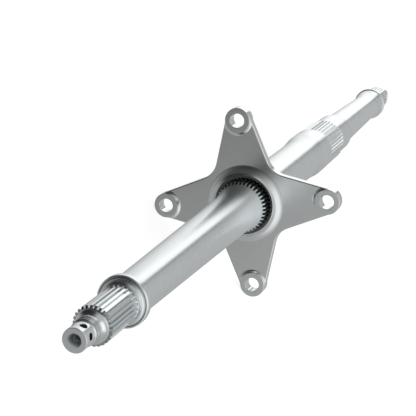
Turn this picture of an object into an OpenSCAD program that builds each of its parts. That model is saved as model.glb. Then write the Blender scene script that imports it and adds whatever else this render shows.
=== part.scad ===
// Rear axle shaft of a quad bike, with the four-arm hub that sits on its middle spline.
// Millimetres. The shaft runs along Y, with the end nearest the hub at -Y, and +Z up.
// The origin is the centre of the four bolt holes, in the plane of the hub's front pads.

/* [Overall] */
// Distance from the bolt face back to the near collar
near_reach = 271; // [180:1:400]
// Distance from the bolt face on to the far collar
far_reach = 530; // [420:1:800]

/* [Hub arms] */
// Diameter of the circle through the four bolt holes
bolt_circle = 144; // [130:1:180]
// Diameter of each bolt hole
bolt_hole_d = 12.2; // [8:0.1:14]
// Outer radius of the round ear at the end of each arm
ear_r = 10.8; // [9.5:0.1:13]
// Slope of each arm's side against the arm's own centre line, in degrees
arm_slope = 17.6; // [14:0.1:20]
// Radius of the round valley between two arms
valley_r = 19.5; // [12:0.5:26]
// Thickness of the arms
arm_t = 7.6; // [5:0.1:12]
// Height of the round pads on both sides of each ear
pad_h = 1.8; // [1:0.1:3]
// Width of the hollow fillet round each pad
pad_foot = 2.8; // [1.5:0.1:4]

/* [Hub boss] */
// How far the boss stands in front of the pads
boss_front = 2.8; // [1:0.1:6]
// Outer radius of the boss at its front rim
rim_r = 26.1; // [25:0.1:30]
// Radius at which the hollow fillet of the boss meets the arms
boss_foot_r = 34.2; // [32:0.1:37]
// How far the sleeve behind the arms reaches past them
sleeve_len = 13; // [6:0.5:30]
// Outer radius of that sleeve
sleeve_r = 26.8; // [25:0.1:30]

/* [Middle spline] */
// Number of teeth on the middle spline and on the sprocket spline
hub_teeth = 40; // [30:1:48]
// Outer radius of both of those splines
hub_spline_r = 22; // [21:0.1:24]
// Tooth height of both of those splines
hub_tooth_h = 1.2; // [0.8:0.1:1.6]
// Turn of the teeth of both of those splines about the shaft, in degrees
spline_turn = 6.6; // [0:0.1:9]
// How far the middle spline reaches in front of the bolt face
hub_spline_front = 13; // [8:0.5:25]
// How far the middle spline reaches behind the bolt face
hub_spline_back = 30; // [26:0.5:50]
// Gap all round between the teeth of the shaft and those of the hub
spline_gap = 0.05; // [0.02:0.01:0.15]

/* [Shaft body] */
// Radius of the near tube where it leaves its collar
near_tube_r = 15; // [13:0.1:16]
// Radius of the near tube where the cone up to the middle spline starts
near_root_r = 18.6; // [17:0.1:20]
// Length of the cone up to the middle spline
root_cone = 19; // [10:0.5:30]
// Radius of the shaft between the hub and the bearing seat
waist_r = 20; // [18:0.1:20.5]
// Radius of the bearing seat
seat_r = 22.2; // [22.1:0.1:24.5]
// Distance from the bolt face to the start of the bearing seat
seat_at = 205; // [150:1:260]
// Length of the bearing seat
seat_len = 27; // [20:0.5:45]
// Length of the cone up to the bearing seat
seat_cone = 26; // [10:0.5:40]
// Length of the sprocket spline
sprocket_len = 57; // [30:1:80]
// Radius of the plain journal past the sprocket spline
journal_r = 20.4; // [19.6:0.1:20.5]
// Length of that journal
journal_len = 42; // [20:1:60]
// Radius of the far tube where it leaves the journal's shoulder
far_root_r = 17.7; // [16.5:0.1:18.5]
// Radius of the far tube where it meets its collar
far_tube_r = 14.6; // [13:0.1:15.5]

/* [Wheel ends] */
// Outer radius of the collar behind each wheel spline
collar_r = 18.4; // [17.8:0.1:21]
// Distance from the middle of the collar to its front face
collar_front = 3.4; // [2.5:0.1:6]
// Distance from the middle of the collar to its back face
collar_back = 2.6; // [1.5:0.1:6]
// Number of teeth on each wheel spline
wheel_teeth = 26; // [18:1:32]
// Outer radius of each wheel spline
wheel_spline_r = 13.7; // [13:0.1:14]
// Tooth height of each wheel spline
wheel_tooth_h = 1.8; // [1.2:0.1:2.2]
// Distance from the middle of the collar to the closed end of the teeth
wheel_spline_start = 9.2; // [8:0.1:14]
// Length of each wheel spline
wheel_spline_len = 41.3; // [25:0.1:60]
// Length of the chamfer at the front of those teeth
wheel_tooth_end = 2.6; // [1:0.1:4]
// Radius of the thread at each end
thread_r = 9; // [8.6:0.1:10]
// Length of the thread and of the round shoulder behind it
thread_len = 13; // [8:0.1:30]
// Radius of the plain nose in front of the thread
nose_r = 8.25; // [7.4:0.05:8.4]
// Length of that nose
nose_len = 12.2; // [8:0.1:20]
// Radius of the mouth of the conical centre hole in the end of the nose
centre_r = 4.7; // [3:0.1:5.5]
// Radius of the small hole at the bottom of that cone
pilot_r = 1.6; // [1.2:0.1:2]
// Depth of that small hole, from the tip
pilot_depth = 14; // [12:0.5:30]
// Radius of the cotter pin holes through the nose
cotter_r = 2.4; // [1:0.1:2.6]
// Distance of the cotter pin holes from the tip
cotter_at = 7; // [4.5:0.1:8]
// Turn of the cotter pin holes about the shaft, in degrees
cotter_turn = 46.6; // [0:0.1:60]

/* [Hidden] */
$fn = 96;
overlap = 1;
bolt_count = 4;
cotter_holes = 3;
arm_turn = 45;

// Tooth flanks lean by these angles from the middle line of each space
hub_flank = 30;
wheel_flank = 25;

// Small edge breaks
edge = 0.4;
small_edge = 0.25;
tooth_end = 1.3;
space_ramp = 2.4;
centre_slope = 30;
seat_edge = 0.5;
shoulder_edge = 0.6;

// Fillets of the collar and of the shoulder behind the thread
collar_back_fillet = 2.6;
collar_back_round = 0.8;
collar_front_round = 1.2;
collar_groove = 0.35;
root_step = 0.1;
collar_front_fillet = collar_r - collar_front_round - 2 * collar_groove - wheel_spline_r;
spline_front_r = wheel_spline_r - wheel_tooth_h - root_step;
thread_fillet = spline_front_r - thread_r - small_edge;
journal_fillet = 1.5;

// Stations along the shaft, counted from the bolt face
bolt_circle_r = bolt_circle / 2;
front_cone_start = hub_spline_front + root_cone + tooth_end;
seat_end = seat_at + seat_len;
sprocket_end = seat_end + sprocket_len;
journal_end = sprocket_end + journal_len;

// Stations of a wheel end, counted from the middle of its collar
spline_tip = wheel_spline_start + wheel_spline_len;
spline_front = spline_tip + wheel_tooth_end;
thread_tip = spline_front + thread_len;
nose_tip = thread_tip + nose_len;

// Hub heights, counted from the bolt face towards the far end
arm_front = pad_h;
arm_back = pad_h + arm_t;
pads_back = arm_back + pad_h;
sleeve_back = arm_back + sleeve_len;
lead_in = rim_r - edge - hub_spline_r - spline_gap;

// Points on an arc about (x, y), from angle a to angle b
function arc(x, y, r, a, b, steps = 8) =
    [for (i = [0:steps]) let (t = a + (b - a) * i / steps) [x + r * cos(t), y + r * sin(t)]];

// Radius of the arc that rises by h over the width w and leaves its foot level
function rise_r(w, h) = (w * w + h * h) / (2 * h);

// The same points with their second coordinate turned over, in the opposite order
function flipped(points) = [for (i = [len(points) - 1:-1:0]) [points[i][0], -points[i][1]]];

// The same points moved by d along the shaft
function moved(points, d) = [for (p = points) [p[0], p[1] + d]];

// Half outline of a wheel end from its tube out to its tip, as radius and distance from the collar
function wheel_end(tube_r) = concat(
    arc(tube_r + collar_back_fillet, -collar_back - collar_back_fillet, collar_back_fillet, 180, 90),
    arc(collar_r - collar_back_round, collar_back_round - collar_back, collar_back_round, -90, 0, 4),
    arc(collar_r - collar_front_round, collar_front - collar_front_round, collar_front_round, 0, 90, 6),
    [[collar_r - collar_front_round - collar_groove, collar_front - collar_groove]],
    arc(wheel_spline_r + collar_front_fillet, collar_front + collar_front_fillet,
        collar_front_fillet, -90, -180),
    [[wheel_spline_r, spline_tip], [spline_front_r, spline_front]],
    arc(thread_r + thread_fillet, spline_front + thread_fillet, thread_fillet, -90, -180),
    [[thread_r, thread_tip - edge - thread_r + nose_r], [nose_r, thread_tip - edge],
     [nose_r, nose_tip - edge], [nose_r - edge, nose_tip]]
);

// Half outline of the whole shaft, as radius and distance from the bolt face
function shaft_outline() = concat(
    [[0, -near_reach - nose_tip]],
    moved(flipped(wheel_end(near_tube_r)), -near_reach),
    [[near_root_r, -front_cone_start], [hub_spline_r - hub_tooth_h, -hub_spline_front - tooth_end],
     [hub_spline_r, -hub_spline_front], [hub_spline_r, hub_spline_back],
     [waist_r, hub_spline_back + 2 * tooth_end], [waist_r, seat_at - seat_cone],
     [seat_r, seat_at], [seat_r, seat_end - seat_edge], [hub_spline_r, seat_end],
     [hub_spline_r, sprocket_end - tooth_end], [journal_r, sprocket_end],
     [journal_r, journal_end - shoulder_edge], [journal_r - shoulder_edge, journal_end]],
    arc(far_root_r + journal_fillet, journal_end + journal_fillet, journal_fillet, -90, -180),
    moved(wheel_end(far_tube_r), far_reach),
    [[0, far_reach + nose_tip]]
);

// Half width of the space between two teeth, at radius r
function space_w(teeth, mid_r, flank, r) = 90 * mid_r / teeth * PI / 180 + (r - mid_r) * tan(flank);

// Cross-section of one space between two teeth, pointing along X and narrowed by gap
module space_2d(teeth, outer_r, tooth_h, flank, gap = 0) {
    mid_r = outer_r - tooth_h / 2;
    low = outer_r - tooth_h - overlap;
    high = outer_r + overlap;
    low_w = space_w(teeth, mid_r, flank, low) - gap / cos(flank);
    high_w = space_w(teeth, mid_r, flank, high) - gap / cos(flank);
    polygon([[low, -low_w], [high, -high_w], [high, high_w], [low, low_w]]);
}

// The spaces of an outer spline from z = a, where they run out on a slope, to z = b, where they are open
module spaces(teeth, outer_r, tooth_h, flank, a, b) {
    root_r = outer_r - tooth_h;
    high = outer_r + overlap;
    low_end = a - space_ramp / tooth_h * overlap;
    intersection() {
        rotate_extrude() polygon([
            [root_r, a + space_ramp], [high, low_end], [high, b], [root_r, b]
        ]);
        translate([0, 0, low_end - overlap]) linear_extrude(b - low_end + 2 * overlap)
            for (i = [0:teeth - 1]) rotate(i * 360 / teeth) space_2d(teeth, outer_r, tooth_h, flank);
    }
}

// Centre hole and cotter pin holes of one nose, for a tip at z = 0 that faces down
module nose_holes() {
    cone_h = (centre_r - pilot_r) / tan(centre_slope);
    translate([0, 0, -overlap])
        cylinder(r1 = centre_r + overlap * tan(centre_slope), r2 = pilot_r, h = cone_h + overlap);
    translate([0, 0, cone_h - overlap]) cylinder(r = pilot_r, h = pilot_depth - cone_h + overlap);
    translate([0, 0, pilot_depth]) cylinder(r1 = pilot_r, r2 = 0, h = pilot_r / 2);
    for (i = [0:cotter_holes - 1])
        translate([0, 0, cotter_at]) rotate([0, 90, i * 180 / cotter_holes + cotter_turn])
            cylinder(r = cotter_r, h = 2 * nose_r + 2 * overlap, center = true);
}

// One turned shaft: collars, splines, bearing seat, journal, threads and noses
module axle_shaft() {
    color([0.78, 0.79, 0.8]) rotate([-90, 0, 0]) difference() {
        rotate(spline_turn) difference() {
            rotate_extrude() polygon(shaft_outline());
            mirror([0, 0, 1]) spaces(hub_teeth, hub_spline_r, hub_tooth_h, hub_flank,
                -hub_spline_back - 2 * space_ramp, hub_spline_front + 2 * tooth_end);
            spaces(hub_teeth, hub_spline_r, hub_tooth_h, hub_flank, seat_end, sprocket_end + overlap);
        }
        for (end = [[-near_reach, 180], [far_reach, 0]]) translate([0, 0, end[0]]) rotate([0, end[1], 0]) {
            spaces(wheel_teeth, wheel_spline_r, wheel_tooth_h, wheel_flank,
                wheel_spline_start, spline_front + overlap);
            translate([0, 0, nose_tip]) mirror([0, 0, 1]) nose_holes();
        }
    }
}

// Side line of an arm, as its distance from the middle of the hub
arm_side = bolt_circle_r * sin(arm_slope) + ear_r;
// Where the side lines of two arms would cross, and the centre of the round valley, along both axes
corner = arm_side / (sin(arm_slope) + cos(arm_slope));
valley = (arm_side + valley_r) / (sin(arm_slope) + cos(arm_slope));

// Outline of the four arms with their round ears and valleys
module star_2d() {
    side = [ear_r * sin(arm_slope), ear_r * cos(arm_slope)];
    touch = [valley - valley_r * sin(arm_slope), valley - valley_r * cos(arm_slope)];
    for (i = [0:bolt_count - 1]) rotate(i * 360 / bolt_count) {
        translate([bolt_circle_r, 0]) circle(r = ear_r);
        polygon([[0, 0], [corner, -corner], [bolt_circle_r + side[0], -side[1]],
                 [bolt_circle_r + side[0], side[1]], [corner, corner]]);
        difference() {
            polygon([[corner - overlap, corner - overlap], touch, [valley, valley], [touch[1], touch[0]]]);
            translate([valley, valley]) circle(r = valley_r);
        }
    }
}

// Half outline of the boss with its front rim, hollow fillets and rear sleeve
function boss_outline() =
    let (front_w = boss_foot_r - rim_r, front_h = boss_front + pad_h - edge,
         front_arc = rise_r(front_w, front_h),
         back_w = boss_foot_r - sleeve_r, back_arc = back_w)
    concat(
        [[0, -boss_front], [rim_r - edge, -boss_front]],
        arc(boss_foot_r, arm_front - front_arc, front_arc, 180 - acos(front_w / front_arc), 90),
        [[boss_foot_r, arm_back]],
        arc(boss_foot_r, arm_back + back_arc, back_arc, -90, -180),
        [[sleeve_r, sleeve_back - edge], [sleeve_r - edge, sleeve_back], [0, sleeve_back]]
    );

// Half outline of one raised pad with its hollow fillet, for a face at z = 0 that looks down
function pad_outline() =
    let (h = pad_h - edge, pad_arc = rise_r(pad_foot, h))
    concat(
        [[0, 0], [ear_r - edge, 0]],
        arc(ear_r + pad_foot, pad_h - pad_arc, pad_arc, 180 - acos(pad_foot / pad_arc), 90, 6),
        [[ear_r + pad_foot, pad_h + overlap], [0, pad_h + overlap]]
    );

// Cross-section of the splined bore, which follows the shaft's teeth with a small gap
module spline_bore_2d() {
    root_r = hub_spline_r - hub_tooth_h + spline_gap;
    circle(r = root_r);
    difference() {
        circle(r = hub_spline_r + spline_gap);
        for (i = [0:hub_teeth - 1]) rotate(i * 360 / hub_teeth)
            space_2d(hub_teeth, hub_spline_r, hub_tooth_h, hub_flank, spline_gap);
    }
}

// Four-arm hub with raised ears, bolt holes and a splined bore
module disc_hub() {
    color([0.66, 0.67, 0.68]) rotate([-90, 0, 0]) difference() {
        union() {
            rotate(arm_turn) translate([0, 0, arm_front]) linear_extrude(arm_t) star_2d();
            rotate_extrude() polygon(boss_outline());
            intersection() {
                rotate(arm_turn) linear_extrude(pads_back) star_2d();
                for (i = [0:bolt_count - 1]) rotate(arm_turn + i * 360 / bolt_count)
                    translate([bolt_circle_r, 0, 0]) {
                        rotate_extrude() polygon(pad_outline());
                        translate([0, 0, pads_back]) mirror([0, 0, 1]) rotate_extrude() polygon(pad_outline());
                    }
            }
        }
        translate([0, 0, -boss_front - overlap]) rotate(spline_turn) {
            linear_extrude(boss_front + sleeve_back + 2 * overlap) spline_bore_2d();
            cylinder(r1 = rim_r - edge + overlap, r2 = hub_spline_r + spline_gap - edge, h = lead_in + overlap + edge);
        }
        for (i = [0:bolt_count - 1]) rotate(arm_turn + i * 360 / bolt_count) translate([bolt_circle_r, 0, -overlap])
            cylinder(d = bolt_hole_d, h = pads_back + 2 * overlap);
    }
}

axle_shaft();
disc_hub();
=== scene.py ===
import math
import bmesh
import bpy
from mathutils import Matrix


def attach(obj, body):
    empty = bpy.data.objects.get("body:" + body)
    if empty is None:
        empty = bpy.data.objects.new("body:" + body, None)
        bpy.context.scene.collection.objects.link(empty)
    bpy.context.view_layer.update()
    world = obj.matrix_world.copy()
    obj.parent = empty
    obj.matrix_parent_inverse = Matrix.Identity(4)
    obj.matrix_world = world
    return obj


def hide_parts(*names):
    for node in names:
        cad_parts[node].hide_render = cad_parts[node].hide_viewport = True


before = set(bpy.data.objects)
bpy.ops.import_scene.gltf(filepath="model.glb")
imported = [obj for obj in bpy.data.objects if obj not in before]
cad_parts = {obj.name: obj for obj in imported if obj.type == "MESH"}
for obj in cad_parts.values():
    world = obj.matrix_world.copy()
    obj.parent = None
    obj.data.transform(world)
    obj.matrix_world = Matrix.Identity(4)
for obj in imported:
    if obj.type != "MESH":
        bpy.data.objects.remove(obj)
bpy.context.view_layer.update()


# Wheel end of the shaft. The real one is turned from the same steel bar as the rest: a collar with
# a dished front, a hobbed spline for the wheel hub, a rolled thread, and a plain nose drilled
# along its middle and across for a cotter pin. It is made once and copied to the far end.
mm = 0.001
collar_y = -271 * mm
far_collar_y = 530 * mm
collar_r = 17.6 * mm
collar_back = -2.6 * mm
wheel_teeth = 26
wheel_crest = 5
wheel_outer = 13.7 * mm
wheel_root = 11.9 * mm
spline_start = 9.2 * mm
spline_tip = 50.7 * mm
spline_front = 52.4 * mm
thread_outer = 8.95 * mm
thread_inner = 8.65 * mm
thread_pitch = 1.25 * mm
thread_start = 58.2 * mm
thread_end = 65.0 * mm
thread_rings = 5
nose_r = 8.25 * mm
nose_tip = 78.3 * mm
nose_hole_r = 4.7 * mm
pilot_r = 1.6 * mm
cotter_r = 2.4 * mm
cotter_turn = math.radians(13.4)
cotter_back = 7 * mm


def start_piece(name):
    """Starts a new piece at the origin, in edit mode with nothing in it."""
    bpy.ops.object.select_all(action="DESELECT")
    bpy.ops.object.add(type="MESH", location=(0, 0, 0))
    piece = bpy.context.object
    piece.name = name
    piece.data.name = name
    bpy.ops.object.mode_set(mode="EDIT")
    bpy.ops.mesh.select_mode(type="VERT")
    return piece


def take_up(piece):
    """Makes the piece the only one selected, and the active one."""
    bpy.ops.object.select_all(action="DESELECT")
    piece.select_set(True)
    bpy.context.view_layer.objects.active = piece


def pick(test):
    """Selects the points of the piece in edit mode whose place passes the test."""
    bpy.ops.mesh.select_mode(type="VERT")
    bpy.ops.mesh.select_all(action="DESELECT")
    mesh = bmesh.from_edit_mesh(bpy.context.object.data)
    for point in mesh.verts:
        point.select = test(point.co)
    mesh.select_flush(True)
    bmesh.update_edit_mesh(bpy.context.object.data)


def turn_profile(points, stations, centre=(0, 0)):
    """Turns a ring of points through stations of (radius, place along the shaft)."""
    x, z = centre
    radius, place = stations[0]
    bpy.ops.mesh.select_all(action="DESELECT")
    bpy.ops.mesh.primitive_circle_add(
        vertices=points, radius=radius, location=(x, place, z), rotation=(math.pi / 2, 0, 0)
    )
    for next_radius, next_place in stations[1:]:
        bpy.ops.mesh.extrude_region_move(
            TRANSFORM_OT_translate={"value": (0, next_place - place, 0)}
        )
        if abs(next_radius - radius) > 1e-9:
            scale = next_radius / radius
            bpy.ops.transform.resize(
                value=(scale, 1, scale), center_override=(x, next_place, z)
            )
        radius, place = next_radius, next_place


def arc(radius, place, size, start, end, steps):
    """Stations on a round of the given size about (radius, place), from angle to angle."""
    angles = [math.radians(start + (end - start) * step / steps) for step in range(steps + 1)]
    return [(radius + size * math.cos(a), place + size * math.sin(a)) for a in angles]


def ring_points(teeth, crest):
    """Points round a ring with teeth: a pitch has three in the space and the rest on the crest."""
    return teeth * (crest + 3)


def point_number(co, teeth, crest):
    """Number of a point in its pitch. The space is 0, 1 and the last one."""
    turn = math.atan2(co.z, co.x) / (2 * math.pi)
    return round(turn * ring_points(teeth, crest)) % (crest + 3)


def sink_spaces(teeth, crest, low, high, root, outer):
    """Sinks the tooth spaces between two places from the outer radius to the root."""
    pick(
        lambda co: low - 1e-6 <= co.y <= high + 1e-6
        and point_number(co, teeth, crest) in (0, 1, crest + 2)
    )
    scale = root / outer
    bpy.ops.transform.resize(value=(scale, 1, scale), center_override=(0, 0, 0))


def cap():
    """Caps each open ring of the piece in edit mode and faces it outwards."""
    bpy.ops.mesh.select_mode(type="EDGE")
    bpy.ops.mesh.select_all(action="DESELECT")
    bpy.ops.mesh.select_non_manifold()
    bpy.ops.mesh.edge_face_add()
    bpy.ops.mesh.select_all(action="SELECT")
    bpy.ops.mesh.normals_make_consistent(inside=False)


def close_up():
    """Caps the piece in edit mode and ends the edit."""
    cap()
    bpy.ops.object.mode_set(mode="OBJECT")


def combine(piece, tool, how="DIFFERENCE"):
    """Cuts the tool's shape out of the piece, or joins or crosses the two, and drops the tool."""
    take_up(piece)
    bpy.ops.object.modifier_add(type="BOOLEAN")
    boolean = piece.modifiers[-1]
    boolean.operation = how
    boolean.solver = "EXACT"
    boolean.object = tool
    bpy.ops.object.modifier_apply(modifier=boolean.name)
    bpy.data.objects.remove(tool)


wheel_end = start_piece("wheel_end")
run_out = [(0.5 * mm, 0.42), (1.1 * mm, 0.72), (1.7 * mm, 0.92), (2.4 * mm, 1.0)]
thread = []
for number in range(thread_rings):
    crest_y = thread_start + number * thread_pitch
    thread += [(thread_outer, crest_y), (thread_outer, crest_y + 0.25 * thread_pitch)]
    thread += [(thread_inner, crest_y + 0.625 * thread_pitch)]
stations = (
    [(collar_r, collar_back)]
    + arc(collar_r, -1.8 * mm, 0.8 * mm, -90, 0, 5)[1:]
    + arc(17.2 * mm, 2.2 * mm, 1.2 * mm, 0, 90, 8)
    + [(16.85 * mm, 3.05 * mm)]
    + arc(16.5 * mm, 6.2 * mm, 2.8 * mm, -90, -180, 12)
    + [(wheel_outer, spline_start)]
    + [(wheel_outer, spline_start + place) for place, depth in run_out]
    + [(wheel_outer, spline_tip), (12.0 * mm, spline_front)]
    + arc(16.5 * mm, 57.95 * mm, 7.5 * mm, -134, -180, 14)
    + thread
    + [(thread_outer, thread_end), (nose_r, 65.7 * mm)]
    + arc(nose_r - 0.4 * mm, nose_tip - 0.4 * mm, 0.4 * mm, 0, 90, 4)
    + [(nose_hole_r, nose_tip), (pilot_r, 72.93 * mm), (pilot_r, 64.3 * mm)]
    + [(0.3 * mm, 63.5 * mm)]
)
stations = [(radius, collar_y - place) for radius, place in stations]
turn_profile(ring_points(wheel_teeth, wheel_crest), stations)
bpy.ops.mesh.merge(type="CENTER")
for place, depth in run_out:
    root = wheel_outer - depth * (wheel_outer - wheel_root)
    high = collar_y - spline_start - place
    low = collar_y - spline_tip if depth == 1.0 else high
    sink_spaces(wheel_teeth, wheel_crest, low, high, root, wheel_outer)
close_up()

for number in range(3):
    drill = start_piece("cotter_drill")
    stations = [
        (cotter_r + 0.8 * mm, -8.6 * mm), (cotter_r, -7.75 * mm),
        (cotter_r, 7.75 * mm), (cotter_r + 0.8 * mm, 8.6 * mm),
    ]
    turn_profile(44, stations)
    close_up()
    drill.rotation_euler = (0, 0, math.radians(90))
    bpy.ops.object.transform_apply(location=False, rotation=True, scale=False)
    drill.rotation_euler = (0, cotter_turn + math.radians(60 * number), 0)
    drill.location = (0, collar_y - nose_tip + cotter_back, 0)
    bpy.ops.object.transform_apply(location=True, rotation=True, scale=False)
    combine(wheel_end, drill)

take_up(wheel_end)
bpy.ops.object.mode_set(mode="EDIT")
bpy.ops.mesh.select_mode(type="FACE")
bpy.ops.mesh.select_all(action="DESELECT")
for face in bmesh.from_edit_mesh(wheel_end.data).faces:
    face.select = len(face.verts) == ring_points(wheel_teeth, wheel_crest)
bpy.ops.mesh.delete(type="FACE")
bpy.ops.object.mode_set(mode="OBJECT")
bpy.ops.object.duplicate()
far_end = bpy.context.object
far_end.rotation_euler = (0, 0, math.pi)
far_end.location = (0, collar_y + far_collar_y, 0)
bpy.ops.object.transform_apply(location=True, rotation=True, scale=False)


# Body of the shaft between its two collars. It is turned steel with a ground seat for the
# bearing and two hobbed splines, one under the brake disc's hub and one for the sprocket's hub.
# It and the two wheel ends are one piece of steel.
near_joint = collar_y - collar_back
far_joint = far_collar_y + collar_back
joint_r = 17.55 * mm
hub_teeth = 40
hub_crest = 3
hub_outer = 22.0 * mm
hub_root = 20.8 * mm
spline_turn = math.radians(2.4)
cone_foot_r = 18.6 * mm
cone_foot_y = -33.3 * mm
mouth_r = 20.8 * mm
mouth_y = -14.3 * mm
middle_front = -13 * mm
middle_back = 30 * mm
middle_root = 20.45 * mm
waist_r = 20.0 * mm
seat_r = 22.2 * mm
sprocket_start = 232 * mm
sprocket_end = 287.7 * mm
flank_lean = math.radians(1.1)
journal_r = 20.4 * mm
journal_end = 331 * mm


def smooth(piece):
    """Shades the piece smooth between its real edges, with its long faces kept straight."""
    take_up(piece)
    bpy.ops.object.shade_smooth_by_angle(angle=math.radians(30))
    bpy.ops.object.modifier_add(type="WEIGHTED_NORMAL")
    normals = piece.modifiers[-1]
    normals.keep_sharp = True
    normals.weight = 100
    bpy.ops.object.modifier_apply(modifier=normals.name)


shaft = start_piece("shaft")
stations = (
    [(joint_r, near_joint)]
    + arc(16.2 * mm, near_joint + 1.2 * mm, 1.2 * mm, -90, -180, 8)[1:]
    + [(cone_foot_r, cone_foot_y), (middle_root, -17.3 * mm), (mouth_r, mouth_y)]
    + [(hub_outer, middle_front), (hub_outer, middle_back)]
    + [(20.8 * mm, 31.56 * mm), (waist_r, 32.6 * mm), (waist_r, 179.0 * mm)]
    + [(22.1 * mm, 203.8 * mm), (seat_r, 206.0 * mm)]
    + [(seat_r, 231.5 * mm), (hub_outer, sprocket_start)]
    + [(hub_outer, sprocket_start + place) for place, depth in run_out]
    + [(hub_outer, sprocket_end), (20.8 * mm, 288.675 * mm), (journal_r, 289.0 * mm)]
    + arc(journal_r - 0.6 * mm, journal_end - 0.6 * mm, 0.6 * mm, 0, 90, 4)
    + arc(19.2 * mm, journal_end + 1.5 * mm, 1.5 * mm, -90, -180, 6)
    + [(15.2 * mm, 490.0 * mm), (15.25 * mm, 499.0 * mm), (15.5 * mm, 507.0 * mm)]
    + [(16.0 * mm, 514.5 * mm), (16.7 * mm, 521.0 * mm), (joint_r, far_joint)]
)
turn_profile(ring_points(hub_teeth, hub_crest), stations)
sink_spaces(hub_teeth, hub_crest, middle_front, middle_back, middle_root, hub_outer)
sink_spaces(hub_teeth, hub_crest, mouth_y, mouth_y, middle_root, mouth_r)
for place, depth in run_out:
    root = hub_outer - depth * (hub_outer - hub_root)
    low = sprocket_start + place
    high = sprocket_end if depth == 1.0 else low
    sink_spaces(hub_teeth, hub_crest, low, high, root, hub_outer)
for side, lean in ((1, -flank_lean), (hub_crest + 2, flank_lean)):
    pick(
        lambda co: 232.4 * mm < co.y < 287.8 * mm
        and point_number(co, hub_teeth, hub_crest) == side
    )
    bpy.ops.transform.rotate(value=lean, orient_axis="Y", center_override=(0, 0, 0))
bpy.ops.object.mode_set(mode="OBJECT")
shaft.rotation_euler = (0, -spline_turn, 0)
bpy.ops.object.transform_apply(location=False, rotation=True, scale=False)
wheel_end.select_set(True)
far_end.select_set(True)
bpy.ops.object.join()
bpy.ops.object.mode_set(mode="EDIT")
for joint in (near_joint, far_joint):
    pick(lambda co: abs(co.y - joint) < 1e-5)
    bpy.ops.mesh.select_mode(type="EDGE")
    bpy.ops.mesh.bridge_edge_loops()
bpy.ops.mesh.select_all(action="SELECT")
bpy.ops.mesh.normals_make_consistent(inside=False)
bpy.ops.object.mode_set(mode="OBJECT")
smooth(shaft)
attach(shaft, "root")
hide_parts("axle_shaft")


# Hub that carries the brake disc. The real one is forged steel that is machined after: four
# tapered arms with raised pads round the bolt holes, and a boss whose splined bore is pushed on
# to the shaft's teeth.
bolt_circle_r = 72 * mm
bolt_hole_r = 6.1 * mm
arm_slope = math.radians(17.6)
ear_r = 10.8 * mm
valley_r = 19.5 * mm
pad_back = 11.2 * mm
arm_front = 1.8 * mm
arm_back = 9.4 * mm
boss_front = -2.8 * mm
boss_back = 22.4 * mm
boss_inner = 15.0 * mm


def place_on_arm(along, across, turn=45.0):
    """A place in the plane of the hub, from its distances along and across an arm."""
    a = math.radians(turn)
    x = along * math.cos(a) - across * math.sin(a)
    z = along * math.sin(a) + across * math.cos(a)
    return x, z


def weld(piece, distance):
    """Joins the points of the piece that lie closer than the distance."""
    take_up(piece)
    bpy.ops.object.mode_set(mode="EDIT")
    bpy.ops.mesh.select_all(action="SELECT")
    bpy.ops.mesh.remove_doubles(threshold=distance)
    bpy.ops.mesh.dissolve_degenerate(threshold=1e-6)
    bpy.ops.object.mode_set(mode="OBJECT")


def join_rings():
    """Joins the last ring of each turned profile to its first one, where they meet."""
    bpy.ops.mesh.select_all(action="SELECT")
    bpy.ops.mesh.remove_doubles(threshold=1e-6)


def star(name, ear, valley_size, front, back):
    """Makes the four-armed plate with round ears and valleys, from the front to the back."""
    piece = start_piece(name)
    sine, cosine = math.sin(arm_slope), math.cos(arm_slope)
    side = bolt_circle_r * sine + ear
    valley = (side + valley_size) / (sine + cosine)
    x, z = place_on_arm(bolt_circle_r + ear * sine, -ear * cosine)
    bpy.ops.mesh.primitive_circle_add(vertices=3, radius=1 * mm, location=(x, front, z))
    bpy.ops.mesh.merge(type="CENTER")
    ear_x, ear_z = place_on_arm(bolt_circle_r, 0)
    bpy.ops.mesh.spin(
        steps=36, angle=math.pi - 2 * arm_slope, center=(ear_x, front, ear_z), axis=(0, 1, 0)
    )
    x, z = place_on_arm(bolt_circle_r + ear * sine, ear * cosine)
    next_x, next_z = place_on_arm(valley - valley_size * sine, valley - valley_size * cosine)
    bpy.ops.mesh.extrude_region_move(
        TRANSFORM_OT_translate={"value": (next_x - x, 0, next_z - z)}
    )
    valley_x, valley_z = place_on_arm(valley, valley)
    bpy.ops.mesh.spin(
        steps=22, angle=math.pi / 2 - 2 * arm_slope,
        center=(valley_x, front, valley_z), axis=(0, -1, 0)
    )
    x, z = place_on_arm(valley - valley_size * cosine, valley - valley_size * sine)
    next_x, next_z = place_on_arm(bolt_circle_r + ear * sine, -ear * cosine, 135.0)
    bpy.ops.mesh.extrude_region_move(
        TRANSFORM_OT_translate={"value": (next_x - x, 0, next_z - z)}
    )
    bpy.ops.mesh.select_all(action="SELECT")
    bpy.ops.mesh.spin(steps=4, angle=2 * math.pi, dupli=True, center=(0, 0, 0), axis=(0, 1, 0))
    bpy.ops.mesh.select_all(action="SELECT")
    bpy.ops.mesh.remove_doubles(threshold=1e-5)
    bpy.ops.mesh.extrude_region_move(TRANSFORM_OT_translate={"value": (0, back - front, 0)})
    cap()
    return piece


hub = star("hub", ear_r, valley_r, arm_front, arm_back)
bpy.ops.mesh.select_mode(type="EDGE")
bpy.ops.mesh.select_all(action="DESELECT")
for rim in bmesh.from_edit_mesh(hub.data).edges:
    rim.select = abs(rim.verts[0].co.y - rim.verts[1].co.y) < 1e-6
bpy.ops.mesh.bevel(offset=0.8 * mm, segments=4, affect="EDGES")
bpy.ops.object.mode_set(mode="OBJECT")

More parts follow.
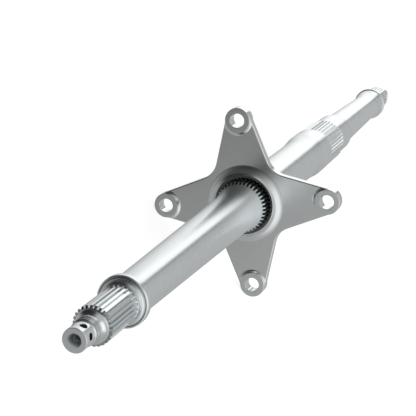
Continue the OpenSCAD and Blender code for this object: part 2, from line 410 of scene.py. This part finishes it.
boss = start_piece("boss")
stations = (
    [(boss_inner, boss_front)]
    + arc(25.7 * mm, boss_front + 0.4 * mm, 0.4 * mm, -90, 0, 4)
    + arc(34.2 * mm, -8.09 * mm, 9.91 * mm, 144.8, 90, 14)
    + arc(34.2 * mm, 16.78 * mm, 7.4 * mm, -90, -180, 14)
    + arc(26.4 * mm, boss_back - 0.4 * mm, 0.4 * mm, 0, 90, 4)
    + [(boss_inner, boss_back), (boss_inner, boss_front)]
)
turn_profile(160, stations)
join_rings()
close_up()
combine(hub, boss, "UNION")

foot_edge = 0.5 * mm
foot_limit = star("foot_limit", ear_r - foot_edge, valley_r + foot_edge, -1 * mm, 12.2 * mm)
bpy.ops.object.mode_set(mode="OBJECT")
feet = start_piece("feet")
stations = (
    [(7.0 * mm, 0.4 * mm), (ear_r, 0.4 * mm)]
    + arc(13.6 * mm, -1.68 * mm, 3.5 * mm, 143.1, 90, 8)[1:]
    + arc(13.6 * mm, 12.88 * mm, 3.5 * mm, -90, -143.1, 8)
    + [(7.0 * mm, 10.8 * mm), (7.0 * mm, 0.4 * mm)]
)
for number in range(4):
    turn_profile(100, stations, place_on_arm(bolt_circle_r, 0, 45 + 90 * number))
join_rings()
close_up()
combine(feet, foot_limit, "INTERSECT")
weld(feet, 0.02 * mm)
combine(hub, feet, "UNION")

pads = start_piece("pads")
stations = (
    [(3.0 * mm, 0.0)]
    + arc(10.46 * mm, 0.4 * mm, 0.4 * mm, -90, 0, 5)
    + arc(10.46 * mm, pad_back - 0.4 * mm, 0.4 * mm, 0, 90, 5)
    + [(3.0 * mm, pad_back), (3.0 * mm, 0.0)]
)
for number in range(4):
    turn_profile(96, stations, place_on_arm(bolt_circle_r, 0, 45 + 90 * number))
join_rings()
close_up()
combine(hub, pads, "UNION")

drills = start_piece("drills")
stations = [
    (bolt_hole_r + 1.4 * mm, -1.0 * mm), (bolt_hole_r, 0.4 * mm),
    (bolt_hole_r, pad_back - 0.4 * mm), (bolt_hole_r + 1.4 * mm, pad_back + 1.0 * mm),
]
for number in range(4):
    turn_profile(64, stations, place_on_arm(bolt_circle_r, 0, 45 + 90 * number))
close_up()
combine(hub, drills)

broach = start_piece("broach")
gap = 0.05 * mm
bore_r = 23.2 * mm
teeth_front = 2.05 * mm
broach_back = boss_back + 1.0 * mm
stations = [
    (26.7 * mm, boss_front - 1.0 * mm), (bore_r, -0.3 * mm),
    (bore_r, teeth_front), (bore_r, broach_back),
]
turn_profile(ring_points(hub_teeth, hub_crest), stations)
sink_spaces(hub_teeth, hub_crest, teeth_front, broach_back, hub_root + gap, bore_r)
close_up()
broach.rotation_euler = (0, -spline_turn, 0)
bpy.ops.object.transform_apply(location=False, rotation=True, scale=False)
combine(hub, broach)
weld(hub, 0.003 * mm)
smooth(hub)
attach(hub, "root")
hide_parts("disc_hub")


# Steel of the two pieces. The shaft is ground and polished bright, with faint rings left by the
# lathe; the hub is machined and tumbled, so its finish is a little softer and slightly uneven.
class Flow:
    """A socket of a node tree that can be reckoned with."""

    def __init__(self, tree, socket):
        self.tree = tree
        self.socket = socket

    def node(self, kind, settings, *inputs):
        """Adds a node with these settings, and these values or flows in its sockets in use."""
        made = self.tree.nodes.new(kind)
        for name, value in settings.items():
            setattr(made, name, value)
        sockets = [socket for socket in made.inputs if socket.enabled]
        for socket, value in zip(sockets, inputs):
            if isinstance(value, Flow):
                self.tree.links.new(value.socket, socket)
            elif value is not None:
                socket.default_value = value
        outputs = [socket for socket in made.outputs if socket.enabled]
        return Flow(self.tree, outputs[0])

    def maths(self, operation, *inputs):
        return self.node("ShaderNodeMath", {"operation": operation}, *inputs)

    def __add__(self, other):
        return self.maths("ADD", self, other)

    def __radd__(self, other):
        return self.maths("ADD", other, self)

    def __sub__(self, other):
        return self.maths("SUBTRACT", self, other)

    def __rsub__(self, other):
        return self.maths("SUBTRACT", other, self)

    def __mul__(self, other):
        return self.maths("MULTIPLY", self, other)

    def __truediv__(self, other):
        return self.maths("DIVIDE", self, other)

    def __neg__(self):
        return self.maths("MULTIPLY", self, -1.0)

    def ramp(self, low, high, at_low=0.0, at_high=1.0):
        """Goes smoothly from one value to another as the flow goes from low to high."""
        return self.node(
            "ShaderNodeMapRange", {"interpolation_type": "SMOOTHSTEP"},
            self, low, high, at_low, at_high
        )

    def mix(self, first, second):
        """Mixes two colours by the flow."""
        return self.node("ShaderNodeMix", {"data_type": "RGBA"}, self, first, second)


def new_tree(owner):
    """The empty node tree of a material or world."""
    owner.use_nodes = True
    owner.node_tree.nodes.clear()
    return owner.node_tree


def split(tree, place):
    """The x, y and z of a vector socket."""
    parts = tree.nodes.new("ShaderNodeSeparateXYZ")
    tree.links.new(place, parts.inputs[0])
    return [Flow(tree, part) for part in parts.outputs]


def new_steel(name, rough, painted_shade, low_tone, high_tone):
    """Polished steel. Two functions of radius and y give its roughness and its painted shade,
    which darkens the base colour.
    """
    steel = bpy.data.materials.new(name)
    tree = new_tree(steel)
    place = tree.nodes.new("ShaderNodeTexCoord").outputs["Object"]
    x, y, z = split(tree, place)
    spot = Flow(tree, place)
    radius = x.maths("SQRT", x * x + z * z)
    cloud = spot.node("ShaderNodeTexNoise", {}, spot, 90.0, 3.0, 0.5)
    rings = y.node("ShaderNodeTexNoise", {"noise_dimensions": "1D"}, y * 3000.0, 1.0, 3.0, 0.6)
    shader = tree.nodes.new("ShaderNodeBsdfPrincipled")
    output = tree.nodes.new("ShaderNodeOutputMaterial")
    tree.links.new(shader.outputs[0], output.inputs["Surface"])
    shader.inputs["Metallic"].default_value = 1.0
    roughness = rough(radius, y) + (rings - 0.5) * 0.02 + (cloud - 0.5) * 0.015
    # The steel's own tone, which the painted shade then darkens towards a near-black.
    unshaded_tone = cloud.ramp(0.3, 0.7).mix(low_tone, high_tone)
    tone = painted_shade(radius, y).mix(unshaded_tone, painted_shade_tone)
    tree.links.new(tone.socket, shader.inputs["Base Color"])
    tree.links.new(roughness.socket, shader.inputs["Roughness"])
    return steel


def zone(y, low, high, edge):
    """Is 1 between two places along the shaft and fades to 0 past them."""
    return y.ramp(low - edge, low) * y.ramp(high + edge, high)


def along_ends(y, low, high, edge):
    """The zone between two distances from the collar's middle, in mm, at both wheel ends."""
    middle = (collar_y + far_collar_y) / 2
    past = y - middle
    reach = past.maths("ABSOLUTE", past) - (middle - collar_y)
    return zone(reach, low * mm, high * mm, edge * mm)


def shaft_rough(radius, y):
    """Satin, with brighter coarse teeth, rough drilled holes and a duller tube near the hub."""
    teeth = along_ends(y, 6.5, 53.0, 1.0)
    drilled = along_ends(y, 66.0, 78.0, 0.3) * radius.ramp(8.1 * mm, 7.7 * mm)
    near_hub = zone(y, -50 * mm, -11 * mm, 70 * mm)
    return 0.27 - teeth * 0.11 + drilled * 0.12 + near_hub * 0.1


def shaft_painted_shade(radius, y):
    """Painted shade, darkening the base colour in the tooth spaces, under the hub's mouth, on the
    tooth fronts, in the thread, the corners and the drilled holes.
    """
    # Painted shade in the tooth spaces of the hub spline: the deeper a point lies below the tooth
    # tips and the mouth chamfer, the darker.
    cone = cone_foot_r + (y - cone_foot_y) * ((mouth_r - cone_foot_r) / (mouth_y - cone_foot_y))
    cone = y.maths("MINIMUM", cone, mouth_r)
    chamfer = y.maths("MINIMUM", mouth_r + (y - mouth_y) * 0.92, hub_outer)
    surface = y.maths("MAXIMUM", cone, chamfer)
    depth = surface - radius
    tooth_space_shade = depth.ramp(0.06 * mm, 0.3 * mm) * zone(y, -17.0 * mm, 31 * mm, 0.1 * mm) * 0.95
    # Painted shade on the teeth within the hub's bore, from just behind its mouth.
    inside = zone(y, -10.6 * mm, 31 * mm, 0.5 * mm) * 0.82
    painted_shade = tooth_space_shade.maths("MAXIMUM", tooth_space_shade, inside)
    # Faint painted shade in the roots of the wheel splines.
    coarse = radius.ramp(12.9 * mm, 12.2 * mm) * along_ends(y, 9.0, 51.2, 0.3)
    # Painted shade on the front ends of the wheel spline teeth.
    front = along_ends(y, 50.75, 52.4, 0.1)
    # Painted shade in the crease of the collar's dished front.
    crease_shade = radius.ramp(16.4 * mm, 16.6 * mm) * radius.ramp(17.4 * mm, 17.1 * mm)
    crease_shade = crease_shade * along_ends(y, 3.0, 3.5, 0.05)
    # Painted shade along the journal's shoulder.
    shoulder_shade = zone(y, 330.0 * mm, 331.4 * mm, 0.3 * mm) * 0.6
    # Painted shade in the roots of the thread rings.
    thread_root_shade = radius.ramp(8.9 * mm, 8.7 * mm) * along_ends(y, 58.0, 64.8, 0.1)
    # Painted shade inside the cotter holes.
    cotter_hole_shade = radius.ramp(8.1 * mm, 7.9 * mm) * radius.ramp(4.7 * mm, 5.0 * mm)
    cotter_hole_shade = cotter_hole_shade * along_ends(y, 66.2, 77.6, 0.2)
    # Painted shade deep in the nose's drilled hole.
    centre = radius.ramp(4.5 * mm, 3.0 * mm) * along_ends(y, 60.0, 79.0, 0.5)
    painted_shade = painted_shade + coarse * 0.12 + front * 0.55 + thread_root_shade * 0.85 + crease_shade * 0.6 + shoulder_shade
    painted_shade = painted_shade + cotter_hole_shade * 0.8 + centre * 0.65
    return painted_shade.maths("MINIMUM", painted_shade, 1.0)


def hub_rough(radius, y):
    """The hub is tumbled, and its bore is rough."""
    return 0.24 + radius.ramp(25.7 * mm, 25.3 * mm) * 0.36


def hub_painted_shade(radius, y):
    """Painted shade, darkening the base colour in the splined bore and in the ends of its spaces.
    """
    # Painted shade at the ends of the bore's tooth spaces, on the lead-in cone.
    space = (y + radius).ramp(23.0 * mm, 23.2 * mm) * radius.ramp(23.6 * mm, 23.3 * mm)
    # Painted shade in the splined bore behind its lead-in.
    bore = y.ramp(1.6 * mm, 2.2 * mm) * radius.ramp(24.0 * mm, 23.6 * mm)
    return space.maths("MAXIMUM", space, bore) * 0.9


# Near-black colour of the painted shade in the steel's base colour.
painted_shade_tone = (0.05, 0.055, 0.055, 1)
shaft.data.materials.clear()
shaft_tones = (0.800, 0.838, 0.850, 1), (0.815, 0.853, 0.865, 1)
shaft.data.materials.append(new_steel("shaft_steel", shaft_rough, shaft_painted_shade, *shaft_tones))
hub.data.materials.clear()
hub_tones = (0.800, 0.826, 0.828, 1), (0.818, 0.844, 0.846, 1)
hub.data.materials.append(new_steel("hub_steel", hub_rough, hub_painted_shade, *hub_tones))


# Stage, light and camera. The plain pale floor touches the lowest ears of the hub. The light is a
# plain studio: grey all round, with a white wall and a lamp on the right, a white screen beyond
# the far end, and black cloth and a black flag on the left.
floor_z = -61.7 * mm
bpy.ops.object.select_all(action="DESELECT")
bpy.ops.mesh.primitive_plane_add(size=12, location=(0, 0.1, floor_z))
floor = bpy.context.object
floor.name = "floor"
paint = bpy.data.materials.new("floor_paint")
tree = new_tree(paint)
matt = tree.nodes.new("ShaderNodeBsdfPrincipled")
matt.inputs["Base Color"].default_value = (0.5, 0.5, 0.5, 1)
matt.inputs["Roughness"].default_value = 1.0
matt.inputs["Specular IOR Level"].default_value = 0.0
matt.inputs["Emission Color"].default_value = (1, 1, 1, 1)
matt.inputs["Emission Strength"].default_value = 0.82
output = tree.nodes.new("ShaderNodeOutputMaterial")
tree.links.new(matt.outputs[0], output.inputs["Surface"])
floor.data.materials.append(paint)
floor.visible_glossy = False

studio = bpy.data.worlds.new("studio")
bpy.context.scene.world = studio
tree = new_tree(studio)
x, y, z = split(tree, tree.nodes.new("ShaderNodeTexCoord").outputs["Generated"])
across = x.maths("SQRT", x * x + z * z)


def toward(angle):
    """Goes from 1 to -1 as a direction turns about the shaft away from the angle."""
    a = math.radians(angle)
    return (x * math.cos(a) + z * math.sin(a)) / across


def cos(angle):
    return math.cos(math.radians(angle))


grey = 0.45 + z * 0.06
before = (-y).ramp(0.25, 0.45)
wall = toward(14).ramp(cos(76), cos(8)) * before * (-y).ramp(0.90, 0.97, 1.0, 0.25)
cloth = toward(155).ramp(cos(78), cos(10)) * before
lamp = toward(37).ramp(cos(37), cos(20)) * y.ramp(-0.05, 0.12)
flag = toward(160).ramp(cos(56), cos(24)) * (1.0 - before)
low_cloth = toward(-155).ramp(cos(72), cos(15)) * (-y).ramp(0.78, 0.93)
low_wall = toward(-60).ramp(cos(65), cos(20)) * (-y).ramp(0.82, 0.92)
around = (grey + wall * 0.55 + low_wall * 0.06) * (1.0 - cloth * 0.88) * (1.0 - flag * 0.95)
around = around * (1.0 - low_cloth * 0.9)
around = around + lamp * (1.2 - around)
screen = toward(180).ramp(0.0, 0.07) * toward(115).ramp(cos(120), cos(45))
screen_side = toward(-170).ramp(cos(75), cos(20)) * y.ramp(0.96, 0.86)
frame_edge = toward(86).ramp(cos(9), cos(3))
ahead = 0.46 + screen * (0.84 - screen_side * 0.45) + y.ramp(0.94, 0.99) * 0.07
ahead = ahead * (1.0 - frame_edge * 0.6)
light = around + y.ramp(0.68, 0.76) * (ahead - around)
seen = Flow(tree, tree.nodes.new("ShaderNodeLightPath").outputs["Is Camera Ray"])
light = light + seen * (1.0 - light)
back = tree.nodes.new("ShaderNodeBackground")
tree.links.new(light.socket, back.inputs["Color"])
output = tree.nodes.new("ShaderNodeOutputWorld")
tree.links.new(back.outputs[0], output.inputs["Surface"])
bpy.context.scene.view_settings.view_transform = "Standard"

half_pixel = 0.5 / 416
view = bpy.data.cameras.new("view")
view.lens = 108.7557
view.sensor_width = 36
view.shift_x = -half_pixel
view.shift_y = half_pixel
camera = bpy.data.objects.new("view", view)
bpy.context.scene.collection.objects.link(camera)
camera.location = (0.065562, -0.995442, 0.396605)
camera.rotation_euler = [math.radians(turn) for turn in (60.87669, -36.87761, 23.45406)]
bpy.context.scene.camera = camera
